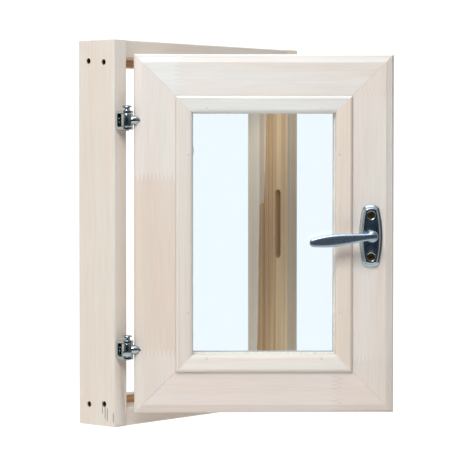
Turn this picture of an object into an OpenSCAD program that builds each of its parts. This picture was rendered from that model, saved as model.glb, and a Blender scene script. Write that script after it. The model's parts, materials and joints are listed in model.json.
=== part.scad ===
// Side-hung vent window in limewood: a rebated frame, a mitred sash with sealed glazing,
// two lift-off pin hinges and a turn handle that drives a latch tongue into the lock jamb.
// X runs along the frame's width, Y goes into the wall and Z is up.
// The origin is the middle of the sill's underside.

/* [Frame] */
// Outside width of the frame
frame_w = 298; // [220:1:480]
// Outside height of the frame
frame_h = 400; // [320:1:640]
// Depth of the frame, front to back
frame_d = 52; // [42:1:80]
// Thickness of the frame members beside the sash
wall_t = 18.5; // [15:0.5:26]
// How far the rear stop stands in from the rebate
stop_h = 8; // [5:0.5:12]
// Thickness of the rear stop, front to back
stop_t = 18; // [12:1:20]
// Small chamfer along the frame's arrises
arris = 0.8; // [0.3:0.1:1.5]

/* [Frame fixings] */
// Radius of the holes for fixing the frame into a wall
fixing_r = 3; // [2:0.25:4]
// Distance of a wall fixing hole behind the frame's front face
fixing_back = 15; // [11:0.5:20]
// Clear distance from a wall fixing hole's edge to the head or sill
fixing_clear = 1.5; // [0.5:0.5:6]
// Radius of the counterbore over an assembly screw
counterbore_r = 3; // [2.75:0.25:4]
// Depth of that counterbore
counterbore_l = 9; // [5:1:12]
// Length of an assembly screw
frame_screw_l = 60; // [45:5:80]
// Radius of an assembly screw's shank
frame_screw_r = 2; // [1.5:0.25:2.5]

/* [Sash] */
// Margin from the frame's outer edge to the sash flange, all round
reveal = 15; // [11.5:0.5:17]
// Thickness of the sash's front flange
flange_t = 13.5; // [12:0.5:20]
// Gap between the closed flange and the frame
seat_gap = 0.5; // [0.3:0.1:1.5]
// Gap between the sash body and the frame at the hinge side, top and bottom
body_gap = 1.5; // [1:0.25:3]
// Gap between the sash body and the rear stop
rear_gap = 1; // [0.5:0.25:2]
// Clearance of the lock edge as it swings past the lock jamb
swing_clear = 0.5; // [0.4:0.1:2]
// Width of the flat member face, from the flange edge to the glazing bead
member_w = 43; // [38:1:60]
// Width of the outer bevel
bevel_w = 8.7; // [4:0.1:14]
// Depth of the outer bevel
bevel_d = 4.5; // [2:0.1:6]
// Radius that rounds the bevel over into the flange's edge
edge_round = 5; // [2:0.5:6]
// How far the sash stands open from closed, in degrees
open_angle = 48; // [0:1:110]

/* [Glazing] */
// Width of a glazing bead
bead_w = 17.5; // [12:0.5:24]
// How far the bead's outer shoulder stands above the member face
bead_rise = 4.5; // [2:0.25:5.5]
// Radius of the bead's outer shoulder
shoulder_r = 3.5; // [1:0.25:4]
// Radius of the bead's nose beside the glass
nose_r = 4.5; // [2:0.25:6]
// Slope of the bead's front down to its nose, in degrees
bead_slope = 7; // [2:1:12]
// Depth of the glass behind the member face
glass_back = 9; // [6:0.5:12]
// Thickness of one pane
pane_t = 4; // [3:0.5:6]
// Width of the sealed gap between the panes
air_gap = 10; // [6:1:12]
// Gap between the edge of the glazing and the member
glass_edge = 3; // [2:0.5:5]
// Thickness of the bedding tape behind the glazing
tape_t = 1; // [0.5:0.25:2]

/* [Hinges] */
// Hinge axis in from the frame's outer side
axis_in = 8; // [6.8:0.1:8.5]
// Hinge axis in front of the frame's front face
axis_out = 10.5; // [10:0.1:12]
// Height of the upper hinge's middle below the frame's top
hinge_from_top = 83; // [50:1:120]
// Height of the lower hinge's middle above the frame's bottom
hinge_from_bottom = 80.5; // [50:0.5:120]
// Radius of a hinge pin
pin_r = 2.5; // [2:0.25:3]
// Outside radius of the barrel
barrel_r = 6.2; // [5:0.1:6.4]
// Length of the barrel
barrel_l = 13; // [10:0.5:20]
// Half width of the fork strip
fork_r = 6.4; // [5:0.1:6.5]
// Thickness of the fork strip
fork_t = 3; // [2:0.25:4]
// Inside radius of the fork's two bends
bend_r = 0.8; // [0.5:0.1:1.2]
// Play between a fork ear and the barrel
ear_gap = 0.3; // [0.2:0.05:0.6]
// Radial running clearance of a pin or a hub
run_clear = 0.05; // [0.02:0.01:0.09]
// Radius of the hinges' screw shanks
shank_r = 2.7; // [2:0.1:2.7]
// Length of a hinge screw in the wood
shank_l = 30; // [20:1:33]

/* [Handle] */
// Pivot of the handle in from the flange's lock edge
pivot_in = 24.2; // [21:0.1:28]
// Distance of the handle's pivot below the middle of the sash
pivot_down = 2; // [0:0.5:20]
// Length of the base plate
plate_l = 64; // [56:1:80]
// Width of the base plate at its middle
plate_w = 24; // [20:0.5:30]
// Width of the base plate just before its ends turn in
plate_end_w = 18; // [14:0.5:20]
// Radius of the base plate's corners
plate_corner_r = 5.2; // [5:0.1:7]
// Height of the base plate
plate_t = 6; // [4:0.5:9]
// Distance between the two plate screws
screw_span = 43; // [40:0.5:52]
// Radius of a plate screw's head
screw_head_r = 3.9; // [3:0.1:4.5]
// Length of the lever from its pivot to its tip
lever_l = 64.5; // [45:1:75]
// Angle by which the lever hangs below level, in degrees
lever_droop = 7; // [0:1:15]
// Height of the lever's outer face above the base plate
lever_rise = 18; // [12:1:30]
// Radius of the lever's hub
hub_r = 6; // [5:0.25:8]
// Side of the square spindle
spindle_w = 6; // [5:0.5:7]
// Length of the latch tongue from its pivot
tongue_l = 31; // [28:0.5:32]
// Thickness of the latch tongue
tongue_t = 4; // [3:0.5:5]
// Width of the latch tongue
tongue_w = 10; // [9:0.5:13]
// Distance of the latch tongue behind the frame's front face
tongue_back = 13.5; // [11:0.5:16]
// Side clearance of the tongue in its slots
slot_clear = 2; // [1:0.25:2.5]
// Height of the keeper slot in the lock jamb
keeper_h = 78; // [60:1:90]
// Depth of the keeper slot
keeper_d = 14; // [12:0.5:14.5]
// Height of the keeper slot's middle above the handle's pivot
keeper_up = 5.5; // [0:0.5:8]

/* [Hidden] */
$fn = 64;

fit = 0.05;
wood = [0.87, 0.83, 0.78];
wood_bead = [0.9, 0.87, 0.83];
zinc = [0.66, 0.69, 0.7];
chrome = [0.75, 0.78, 0.8];
gold_zinc = [0.62, 0.48, 0.2];
glass = [0.85, 0.95, 1, 0.4];
aluminium = [0.75, 0.76, 0.78];
rubber = [0.2, 0.2, 0.21];
plastic = [0.35, 0.4, 0.45];

rebate_d = frame_d - stop_t;
front_y = -frame_d / 2;
left_x = -frame_w / 2;
fixing_z = wall_t + fixing_clear + fixing_r;
screw_up = 8;
screw_z = (wall_t + stop_h) / 2 + screw_up;
screw_back = rebate_d + stop_t / 6;
screw_head_h = 2.5;
cross_w = 0.8;
cross_deep = 1.4;
cross_part = 0.55;
screw_tip_l = 5;
screw_tip_r = 0.4;

// The sash is drawn closed, in its own coordinates: S from the hinge edge of the flange,
// T back from the member face and Z up from the flange's lower edge.
sash_w = frame_w - 2 * reveal;
sash_h = frame_h - 2 * reveal;
sash_t = flange_t + seat_gap + rebate_d - rear_gap;
axis_s = axis_in - reveal;
axis_t = flange_t + seat_gap - axis_out;
body_in = wall_t + body_gap - reveal;

// The rear corner of the lock edge swings on a circle about the hinge axis, and the circle
// has to pass inside the lock jamb's front arris.
jamb_reach = frame_w - wall_t - swing_clear - axis_in;
corner_back = sash_t - axis_t;
lock_reach = sqrt(pow(jamb_reach, 2) + pow(axis_out, 2) - pow(corner_back, 2));
lock_in = sash_w - axis_s - lock_reach;

sight = member_w + bead_w;
unit_t = 2 * pane_t + air_gap;
lip_t0 = glass_back + unit_t + tape_t;
seal_w = 4;
spacer_w = 6;
tape_w = 9;
block_l = 20;
block_play = 0.1;
block_t = glass_edge - block_play;
low_blocks_at = [0.3, 0.7];
side_blocks_at = 0.4;
glass_in = member_w + glass_edge;

upper_z = frame_h - hinge_from_top;
lower_z = hinge_from_bottom;
ear_z = barrel_l / 2 + ear_gap;
pin_neck_h = 3;
pin_head_h = 2.6;
pin_tail = 1.2;
pin_chamfer = 0.6;
pin_brim_h = 0.6;
pin_foot_out = 0.9;
pin_waist_out = 0.3;
pin_brim_out = 2.8;
pin_crown_out = 1.8;
rivet_head_h = 0.9;
rivet_head_out = 1.2;
barrel_free = 0.5;

pivot_s = sash_w - pivot_in;
pivot_z = sash_h / 2 - pivot_down;
keeper_z = reveal + pivot_z + keeper_up;
keeper_w = tongue_t + 2 * slot_clear;
tongue_s_t = tongue_back + seat_gap + flange_t;
hub_neck_r = 4.9;
hub_gap = 0.4;
arm_t = 5;
arm_slim = 3.5;
arm_swell = 2.2;
arm_tip = 4;
head_t = 2.1;
plate_edge = 4.4;
plate_end_rise = 0.6;
// Each step of the plate's edge: height reached and how far it is set in, as parts of the whole
plate_steps = [[0.33, 0], [0.57, 0.18], [0.77, 0.45], [0.9, 0.73], [1, 1]];
head_sink = 2.6;
mortise_up = tongue_w / 2 + slot_clear;
mortise_down = tongue_l + slot_clear;
mortise_in = tongue_w / 2 + slot_clear;
mortise_t = tongue_t + slot_clear;
plate_screw_l = 20;
plate_screw_r = 1.5;
spindle_bore_r = spindle_w * 0.75 + 1;
spindle_back = tongue_s_t + tongue_t / 2 + 3.5;
brad_r = 0.7;
brad_l = 24;
brad_in = 13;
brad_slant = 22;
brad_sunk = 0.3;
brads_at = [0.28, 0.72];
dowel_r = 4;
dowel_l = 44;
dowel_in = 32;

// Points on an arc about (x, y), from one angle to another in equal steps
function arc(x, y, r, from, to, steps) =
    [for (i = [0 : steps]) let (a = from + (to - from) * i / steps) [x + r * cos(a), y + r * sin(a)]];

// ---- placing ----

module in_sash() {
    translate([left_x + axis_in, front_y - axis_out, 0])
        rotate([0, 0, -open_angle])
            translate([-axis_s, -axis_t, reveal])
                children();
}

module at_pivot() {
    in_sash() translate([pivot_s, 0, pivot_z]) children();
}

// The handle's own pieces turn together: lever, spindle, tongue and washer
module at_handle() {
    at_pivot() rotate([0, -lever_droop, 0]) children();
}

// A member's own coordinates: X in from the flange edge, Y back and Z along it
module at_side(side) {
    if (side == "left") children();
    if (side == "right") translate([sash_w, 0, 0]) mirror([1, 0, 0]) children();
    if (side == "bottom") mirror([1, 0, -1]) children();
    if (side == "top") translate([0, 0, sash_h]) mirror([0, 0, 1]) mirror([1, 0, -1]) children();
}

module hinge_spot(z) {
    translate([left_x + axis_in, front_y - axis_out, z]) children();
}

module in_eye(z) {
    hinge_spot(z) rotate([0, 0, -open_angle]) children();
}

// ---- frame ----

// Section of a frame member: X in from the outside, Y back from the front face
module frame_section() {
    polygon([
        [arris, 0], [wall_t - arris, 0], [wall_t, arris], [wall_t, rebate_d],
        [wall_t + stop_h, rebate_d], [wall_t + stop_h, frame_d - arris],
        [wall_t + stop_h - arris, frame_d], [arris, frame_d], [0, frame_d - arris], [0, arris]
    ]);
}

module fixing_holes() {
    for (z = [fixing_z, frame_h - fixing_z])
        translate([-1, fixing_back, z]) rotate([0, 90, 0]) cylinder(h = wall_t + 2, r = fixing_r);
}

module screw_spots() {
    for (z = [screw_z, frame_h - screw_z])
        translate([0, screw_back, z]) rotate([0, 90, 0]) children();
}

module jamb_blank() {
    difference() {
        linear_extrude(frame_h) frame_section();
        fixing_holes();
        screw_spots() translate([0, 0, -1]) cylinder(h = counterbore_l + 1, r = counterbore_r);
        screw_spots() cylinder(h = wall_t + stop_h + 1, r = frame_screw_r + fit);
    }
}

module left_jamb() {
    color(wood)
        difference() {
            translate([left_x, front_y, 0]) jamb_blank();
            for (z = [lower_z, upper_z])
                hinge_spot(z) translate([0, axis_out - 1, 0])
                    rotate([-90, 0, 0]) cylinder(h = shank_l + 1 + fit, r = shank_r + fit);
        }
}

// Slot with round ends, milled into the lock jamb from the rebate
module keeper_slot() {
    reach = keeper_h / 2 - keeper_w / 2;
    translate([-left_x - wall_t - 1, front_y + tongue_back, keeper_z])
        rotate([0, 90, 0]) {
            for (side = [-1, 1]) translate([side * reach, 0, 0]) cylinder(h = keeper_d + 1, r = keeper_w / 2);
            translate([-reach, -keeper_w / 2, 0]) cube([2 * reach, keeper_w, keeper_d + 1]);
        }
}

module right_jamb() {
    color(wood)
        difference() {
            mirror([1, 0, 0]) translate([left_x, front_y, 0]) jamb_blank();
            keeper_slot();
        }
}

// A rail lies between the jambs and stops short where their rear stops stand in
module rail_blank() {
    long = frame_w - 2 * wall_t;
    short = long - 2 * stop_h;
    difference() {
        union() {
            translate([-long / 2, 0, 0]) rotate([90, 0, 90]) linear_extrude(long)
                polygon([
                    [0, arris], [arris, 0], [rebate_d, 0], [rebate_d, wall_t],
                    [arris, wall_t], [0, wall_t - arris]
                ]);
            translate([-short / 2, 0, 0]) rotate([90, 0, 90]) linear_extrude(short)
                polygon([
                    [rebate_d, 0], [frame_d - arris, 0], [frame_d, arris],
                    [frame_d, wall_t + stop_h - arris], [frame_d - arris, wall_t + stop_h],
                    [rebate_d, wall_t + stop_h]
                ]);
        }
        for (side = [-1, 1]) translate([side * (frame_w / 2 - counterbore_l), screw_back, screw_z])
            rotate([0, side * -90, 0]) cylinder(h = frame_screw_l + fit, r = frame_screw_r + fit);
    }
}

module sill_rail() {
    color(wood) translate([0, front_y, 0]) rail_blank();
}

module head_rail() {
    color(wood) translate([0, front_y, frame_h]) mirror([0, 0, 1]) rail_blank();
}

// Cross recess cut upwards from a screw head's face, with arms of the given reach
module cross_recess(reach) {
    for (turn = [0, 90]) rotate([0, 0, turn])
        translate([-reach, -cross_w / 2, -1]) cube([2 * reach, cross_w, cross_deep + 1]);
}

module frame_screw() {
    head_r = counterbore_r - fit;
    difference() {
        union() {
            cylinder(h = frame_screw_l, r = frame_screw_r);
            translate([0, 0, -screw_head_h]) cylinder(h = screw_head_h, r = head_r);
        }
        translate([0, 0, -screw_head_h]) cross_recess(head_r * cross_part);
    }
}

module frame_screws() {
    color(gold_zinc)
        for (side = [-1, 1], z = [screw_z, frame_h - screw_z])
            translate([side * (frame_w / 2 - counterbore_l), front_y + screw_back, z])
                rotate([0, side * -90, 0]) frame_screw();
}

// ---- hinges ----

// The fork's strip seen from the side: X back from the pin and Y up, bent twice to a U
module fork_side() {
    plate_y = axis_out - fork_t;
    top = ear_z + fork_t;
    outer_r = bend_r + fork_t;
    polygon(concat(
        [[-fork_r, -ear_z], [-fork_r, -top]],
        arc(axis_out - outer_r, outer_r - top, outer_r, 270, 360, 6),
        arc(axis_out - outer_r, top - outer_r, outer_r, 0, 90, 6),
        [[-fork_r, top], [-fork_r, ear_z]],
        arc(plate_y - bend_r, ear_z - bend_r, bend_r, 90, 0, 3),
        arc(plate_y - bend_r, bend_r - ear_z, bend_r, 0, -90, 3)
    ));
}

// Fork: its back plate lies on the jamb and its two ears end round about the pin
module hinge_fork(z) {
    tall = 4 * ear_z;
    color(zinc) hinge_spot(z)
        difference() {
            intersection() {
                translate([-fork_r, 0, 0]) rotate([90, 0, 90]) linear_extrude(2 * fork_r) fork_side();
                union() {
                    translate([0, 0, -tall / 2]) cylinder(h = tall, r = fork_r);
                    translate([-fork_r, 0, -tall / 2]) cube([2 * fork_r, axis_out, tall]);
                }
            }
            translate([0, 0, -tall]) cylinder(h = 2 * tall, r = pin_r + run_clear);
            rotate([-90, 0, 0]) cylinder(h = axis_out + 1, r = shank_r + fit);
        }
}

module hinge_fork_upper() hinge_fork(upper_z);
module hinge_fork_lower() hinge_fork(lower_z);

// A hinge screw's shank with its point, along Z from 0 to long
module pointed_shank(long) {
    cylinder(h = long - screw_tip_l, r = shank_r);
    translate([0, 0, long - screw_tip_l]) cylinder(h = screw_tip_l, r1 = shank_r, r2 = screw_tip_r);
}

// Screw riveted through the fork's back plate, with a flat head that clears the barrel
module fork_screw(z) {
    room = axis_out - fork_t - barrel_r - barrel_free;
    head_h = min(room, rivet_head_h);
    color(zinc) hinge_spot(z) translate([0, axis_out - fork_t, 0]) rotate([-90, 0, 0]) {
        pointed_shank(shank_l + fork_t);
        translate([0, 0, -head_h]) cylinder(h = head_h, r = shank_r + rivet_head_out);
    }
}

module fork_screw_upper() fork_screw(upper_z);
module fork_screw_lower() fork_screw(lower_z);

// Loose pin with a mushroom head on a tapered neck
module hinge_pin(z) {
    seat = ear_z + fork_t;
    brim_z = seat + pin_neck_h + (pin_brim_out - pin_foot_out) / 3;
    brim_r = pin_r + pin_brim_out;
    crown_r = pin_r + pin_crown_out;
    top_z = seat + pin_neck_h + pin_head_h;
    color(zinc) hinge_spot(z) rotate_extrude()
        polygon([
            [0, -seat - pin_tail], [pin_r - pin_chamfer, -seat - pin_tail],
            [pin_r, -seat - pin_tail + pin_chamfer], [pin_r, seat], [pin_r + pin_foot_out, seat],
            [pin_r + pin_waist_out, seat + pin_neck_h], [brim_r, brim_z], [brim_r, brim_z + pin_brim_h],
            [crown_r, (brim_z + pin_brim_h + top_z) / 2], [pin_r, top_z - pin_chamfer / 3], [0, top_z]
        ]);
}

module hinge_pin_upper() hinge_pin(upper_z);
module hinge_pin_lower() hinge_pin(lower_z);

// Eye: a barrel on the pin with a screw that runs into the edge of the sash flange
module hinge_eye(z) {
    tip = -axis_s + shank_l;
    color(zinc) in_eye(z)
        difference() {
            union() {
                translate([0, 0, -barrel_l / 2]) cylinder(h = barrel_l, r = barrel_r);
                rotate([0, 90, 0]) pointed_shank(tip);
            }
            translate([0, 0, -barrel_l]) cylinder(h = 2 * barrel_l, r = pin_r + run_clear);
        }
}

module hinge_eye_upper() hinge_eye(upper_z);
module hinge_eye_lower() hinge_eye(lower_z);

// ---- sash ----

// Section of a sash member: X in from the flange edge, Y back from the member face. The bevel
// rounds over into the edge on an arc that touches both.
module member_section(inset) {
    slope = atan(bevel_d / bevel_w);
    edge_y = bevel_d + edge_round * tan((90 - slope) / 2);
    polygon(concat(
        arc(edge_round, edge_y, edge_round, 180, 270 - slope, 6),
        [
            [bevel_w, 0], [member_w, 0], [member_w, lip_t0], [sight, lip_t0],
            [sight, sash_t - arris], [sight - arris, sash_t], [inset + arris, sash_t],
            [inset, sash_t - arris], [inset, flange_t], [0, flange_t]
        ]
    ));
}

// A bar of the section laid along Z from 0 to long, cut to mitres at both ends
module mitred_bar(long) {
    reach = long / 2;
    intersection() {
        linear_extrude(long) children();
        translate([0, -long, 0]) rotate([-90, 0, 0]) linear_extrude(2 * long)
            polygon([[0, 0], [reach, -reach], [0, -long]]);
    }
}

// Two places across each corner's mitre, square to it, for its dowels
module dowel_spots() {
    backs = [flange_t + dowel_r + 0.5, (lip_t0 + sash_t) / 2];
    for (sx = [0, 1], sz = [0, 1], back = backs)
        translate([sx * sash_w + (1 - 2 * sx) * dowel_in, back, sz * sash_h + (1 - 2 * sz) * dowel_in])
            rotate([0, sx == sz ? 135 : 45, 0])
                children();
}

module eye_holes() {
    for (z = [lower_z, upper_z])
        translate([-1, axis_t, z - reveal]) rotate([0, 90, 0]) cylinder(h = shank_l + 1 + fit, r = shank_r + fit);
}

module dowel_holes() {
    dowel_spots() cylinder(h = dowel_l + 2 * fit, r = dowel_r + fit, center = true);
}

// A sash member without its bores, on the named side
module member(side, long, inset) {
    difference() {
        at_side(side) mitred_bar(long) member_section(inset);
        dowel_holes();
        brad_spots(side, long) cylinder(h = brad_l + fit, r = brad_r + fit);
    }
}

module left_stile() {
    color(wood) in_sash() difference() {
        member("left", sash_h, body_in);
        eye_holes();
    }
}

// Pocket in the lock edge in which the tongue turns from down to out
module tongue_mortise() {
    translate([-mortise_in, tongue_s_t - mortise_t / 2, -mortise_down])
        cube([pivot_in + mortise_in, mortise_t, mortise_down + mortise_up]);
}

module right_stile() {
    color(wood) in_sash() difference() {
        member("right", sash_h, lock_in);
        translate([pivot_s, 0, pivot_z]) {
            tongue_mortise();
            translate([0, -1, 0]) rotate([-90, 0, 0]) cylinder(h = spindle_back + 2, r = spindle_bore_r);
            for (side = [-1, 1]) translate([0, -1, side * screw_span / 2])
                rotate([-90, 0, 0]) cylinder(h = plate_screw_l, r = plate_screw_r + fit);
        }
    }
}

// The lock stile's body is set further in, so each rail is trimmed back to it at that end
module sash_rail(side) {
    difference() {
        member(side, sash_w, body_in);
        translate([sash_w - lock_in, flange_t, -1]) cube([lock_in + 1, sash_t, sash_h + 2]);
    }
}

module bottom_rail() {
    color(wood) in_sash() sash_rail("bottom");
}

module top_rail() {
    color(wood) in_sash() sash_rail("top");
}

module corner_dowels() {
    color(wood_bead) in_sash() dowel_spots() cylinder(h = dowel_l, r = dowel_r, center = true);
}

// ---- glazing ----

// How far the bead's sloping front lies behind the member face, at a distance in from the member
function bead_front(x) =
    (x - fit - shoulder_r) * tan(bead_slope) + shoulder_r - bead_rise - shoulder_r / cos(bead_slope);

// Section of a bead: X in from the member, Y back from the member face. A shoulder, a sloping
// front and a round nose run into each other, and the nose turns down to the glass.
module bead_section() {
    nose_x = bead_w - nose_r;
    nose_y = bead_front(nose_x) + nose_r / cos(bead_slope);
    polygon(concat(
        [[bead_w, glass_back - fit], [fit, glass_back - fit]],
        arc(fit + shoulder_r, shoulder_r - bead_rise, shoulder_r, 180, 270 + bead_slope, 6),
        arc(nose_x, nose_y, nose_r, 270 + bead_slope, 360, 6)
    ));
}

// Two brads on each side: from the bead's front, on a slant, into the member beside the glazing
module brad_spots(side, long) {
    for (part = brads_at) at_side(side)
        translate([member_w + brad_in, bead_front(brad_in) + brad_sunk, long * part])
            rotate([0, -90, 0]) rotate([-brad_slant, 0, 0]) children();
}

module bead(side, long) {
    color(wood_bead) in_sash() difference() {
        at_side(side) translate([member_w, 0, member_w]) mitred_bar(long - 2 * member_w) bead_section();
        brad_spots(side, long) translate([0, 0, -2]) cylinder(h = brad_l, r = brad_r + fit);
    }
}

module bead_left() bead("left", sash_h);
module bead_right() bead("right", sash_h);
module bead_bottom() bead("bottom", sash_w);
module bead_top() bead("top", sash_w);

module bead_brads() {
    color(zinc) in_sash() {
        for (side = ["left", "right"]) brad_spots(side, sash_h) cylinder(h = brad_l, r = brad_r);
        for (side = ["bottom", "top"]) brad_spots(side, sash_w) cylinder(h = brad_l, r = brad_r);
    }
}

// A ring of the glazing's outline, wide across and thick from front to back
module glazing_ring(outer_in, inner_in, thick) {
    rotate([90, 0, 0]) translate([0, 0, -thick]) linear_extrude(thick)
        difference() {
            translate([outer_in, outer_in]) square([sash_w - 2 * outer_in, sash_h - 2 * outer_in]);
            translate([inner_in, inner_in]) square([sash_w - 2 * inner_in, sash_h - 2 * inner_in]);
        }
}

module pane(back) {
    in_sash() translate([glass_in, back, glass_in]) cube([sash_w - 2 * glass_in, pane_t, sash_h - 2 * glass_in]);
}

module front_pane() color(glass) pane(glass_back);
module back_pane() color(glass) pane(glass_back + pane_t + air_gap);

module spacer_bar() {
    color(aluminium) in_sash() translate([0, glass_back + pane_t, 0])
        glazing_ring(glass_in + seal_w, glass_in + seal_w + spacer_w, air_gap);
}

module edge_seal() {
    color(rubber) in_sash() translate([0, glass_back + pane_t, 0])
        glazing_ring(glass_in, glass_in + seal_w, air_gap);
}

module bedding_tape() {
    color(rubber) in_sash() translate([0, glass_back + unit_t, 0])
        glazing_ring(glass_in, glass_in + tape_w, tape_t);
}

// Packers that hold the glazing off the members: two below, and one at each side and the top
module setting_blocks() {
    low = member_w + fit;
    color(plastic) in_sash() {
        for (part = low_blocks_at) translate([sash_w * part - block_l / 2, glass_back, low])
            cube([block_l, unit_t, block_t]);
        translate([sash_w / 2 - block_l / 2, glass_back, sash_h - low - block_t]) cube([block_l, unit_t, block_t]);
        for (x = [low, sash_w - low - block_t]) translate([x, glass_back, sash_h * side_blocks_at])
            cube([block_t, unit_t, block_l]);
    }
}

// ---- handle ----

// Outline of the plate, given by the direction in which each part of its edge faces. Flat arcs
// make its sides and ends, round corners of radius r join them, and a corner's middle lies at
// (corner_x, corner_y) for any radius, so a smaller radius gives the same outline set in.
module plate_outline(shrink) {
    r = plate_corner_r - shrink;
    corner_x = plate_end_w / 2 - plate_corner_r;
    corner_y = plate_l / 2 - plate_corner_r - plate_end_rise;
    side_x = plate_w / 2 - plate_corner_r;
    side_in = side_x - corner_x;
    side_r = (pow(corner_y, 2) + pow(side_in, 2)) / (2 * side_in);
    end_r = (pow(corner_x, 2) + pow(plate_end_rise, 2)) / (2 * plate_end_rise);
    lean = asin(corner_y / side_r);
    dip = asin(corner_x / end_r);
    quarter = concat(
        arc(side_x - side_r, 0, side_r + r, 0, lean, 6),
        arc(corner_x, corner_y, r, lean, 90 - dip, 5),
        arc(0, corner_y + plate_end_rise - end_r, end_r + r, 90 - dip, 90, 2)
    );
    half = concat(quarter, [for (i = [len(quarter) - 2 : -1 : 0]) [-quarter[i][0], quarter[i][1]]]);
    polygon(concat(half, [for (i = [len(half) - 2 : -1 : 1]) [half[i][0], -half[i][1]]]));
}

module plate_layer(back, thick, shrink) {
    rotate([90, 0, 0]) translate([0, 0, back]) linear_extrude(thick)
        plate_outline(shrink);
}

// The plate rises to its flat top in a few low steps
module handle_plate() {
    color(chrome) at_pivot()
        difference() {
            for (i = [0 : len(plate_steps) - 1]) {
                low = i == 0 ? 0 : plate_steps[i - 1][0];
                plate_layer(low * plate_t, (plate_steps[i][0] - low) * plate_t, plate_steps[i][1] * plate_edge);
            }
            rotate([90, 0, 0]) translate([0, 0, -1]) cylinder(h = plate_t + 2, r = hub_neck_r + run_clear);
            for (side = [-1, 1]) translate([0, 0, side * screw_span / 2]) rotate([90, 0, 0]) {
                translate([0, 0, -1]) cylinder(h = plate_t + 2, r = plate_screw_r + 0.5);
                translate([0, 0, plate_t - head_sink]) cylinder(h = head_sink + 1, r = screw_head_r + fit);
            }
        }
}

module plate_screw() {
    difference() {
        union() {
            translate([0, 0, plate_t - head_sink]) cylinder(h = head_t, r = screw_head_r);
            translate([0, 0, plate_t - plate_screw_l]) cylinder(h = plate_screw_l - head_sink, r = plate_screw_r);
        }
        translate([0, 0, plate_t - head_sink + head_t]) mirror([0, 0, 1]) cross_recess(screw_head_r * cross_part);
    }
}

module plate_screws() {
    color(gold_zinc) at_pivot()
        for (side = [-1, 1]) translate([0, 0, side * screw_span / 2]) rotate([90, 0, 0]) plate_screw();
}

// Lever: a neck in the plate's bore, a hub above it and a leaf-shaped arm
module handle_lever() {
    out = plate_t + lever_rise;
    color(chrome) at_handle() rotate([90, 0, 0])
        difference() {
            union() {
                translate([0, 0, 0.2]) cylinder(h = out - 3, r = hub_neck_r);
                translate([0, 0, plate_t + hub_gap]) cylinder(h = out - plate_t - hub_gap, r = hub_r);
                translate([0, 0, out - arm_t]) rotate([0, 0, 180]) linear_extrude(arm_t) lever_outline();
            }
            spindle_hole(-1, out - arm_t);
        }
}

// Square hole for the spindle, along Z
module spindle_hole(from, to) {
    side = spindle_w + 2 * fit;
    translate([-side / 2, -side / 2, from]) cube([side, side, to - from]);
}

// Half width of the lever's arm at a distance from the pivot: slim by the hub, widest past the middle
function arm_half(x) = arm_slim + arm_swell * pow(sin(180 * pow(min(1, x / lever_l), 1.6)), 1.2);

module lever_outline() {
    steps = 24;
    span = lever_l - arm_tip;
    end = arm_half(span);
    xs = [for (i = [0 : steps]) span * i / steps];
    polygon(concat(
        [for (x = xs) [x, arm_half(x)]],
        [for (a = [15 : 15 : 165]) [span + arm_tip * sin(a), end * cos(a)]],
        [for (i = [steps : -1 : 0]) [xs[i], -arm_half(xs[i])]]
    ));
}

module spindle() {
    front = plate_t + lever_rise - arm_t - 0.5;
    color(zinc) at_handle()
        translate([-spindle_w / 2, -front, -spindle_w / 2])
            cube([spindle_w, front + spindle_back - 0.5, spindle_w]);
}

// The tongue hangs down inside the lock stile until the lever is turned down
module latch_tongue() {
    round_r = tongue_w / 2;
    run = tongue_l - round_r;
    color(zinc) at_handle() translate([0, tongue_s_t + tongue_t / 2, 0]) rotate([90, 0, 0])
        difference() {
            union() {
                cylinder(h = tongue_t, r = round_r);
                translate([-round_r, -run, 0]) cube([tongue_w, run, tongue_t]);
                translate([0, -run, 0]) cylinder(h = tongue_t, r = round_r);
            }
            spindle_hole(-1, tongue_t + 1);
        }
}

// Spring washer pressed on the spindle's end, behind the tongue
module spindle_washer() {
    color(zinc) at_handle() translate([0, tongue_s_t + tongue_t / 2 + 1, 0]) rotate([90, 0, 0])
        difference() {
            cylinder(h = 0.8, r = spindle_w * 0.75 + 0.3);
            spindle_hole(-1, 2);
        }
}

left_jamb();
right_jamb();
head_rail();
sill_rail();
frame_screws();
hinge_fork_upper();
hinge_fork_lower();
fork_screw_upper();
fork_screw_lower();
hinge_pin_upper();
hinge_pin_lower();
hinge_eye_upper();
hinge_eye_lower();
left_stile();
right_stile();
top_rail();
bottom_rail();
corner_dowels();
bead_left();
bead_right();
bead_top();
bead_bottom();
bead_brads();
front_pane();
back_pane();
spacer_bar();
edge_seal();
bedding_tape();
setting_blocks();
handle_plate();
plate_screws();
handle_lever();
spindle();
latch_tongue();
spindle_washer();
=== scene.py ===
"""A side-hung vent window in whitewashed limewood, standing open on its two pin hinges.

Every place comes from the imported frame. The sash's own pieces are worked out in the sash's
coordinates: S from the flange's hinge edge, T back from the member face and Z up from the
flange's lower edge, all in metres, as if the sash were closed.
"""
import json
import math

import bmesh
import bpy
import numpy as np
from mathutils import Matrix, Vector


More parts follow.
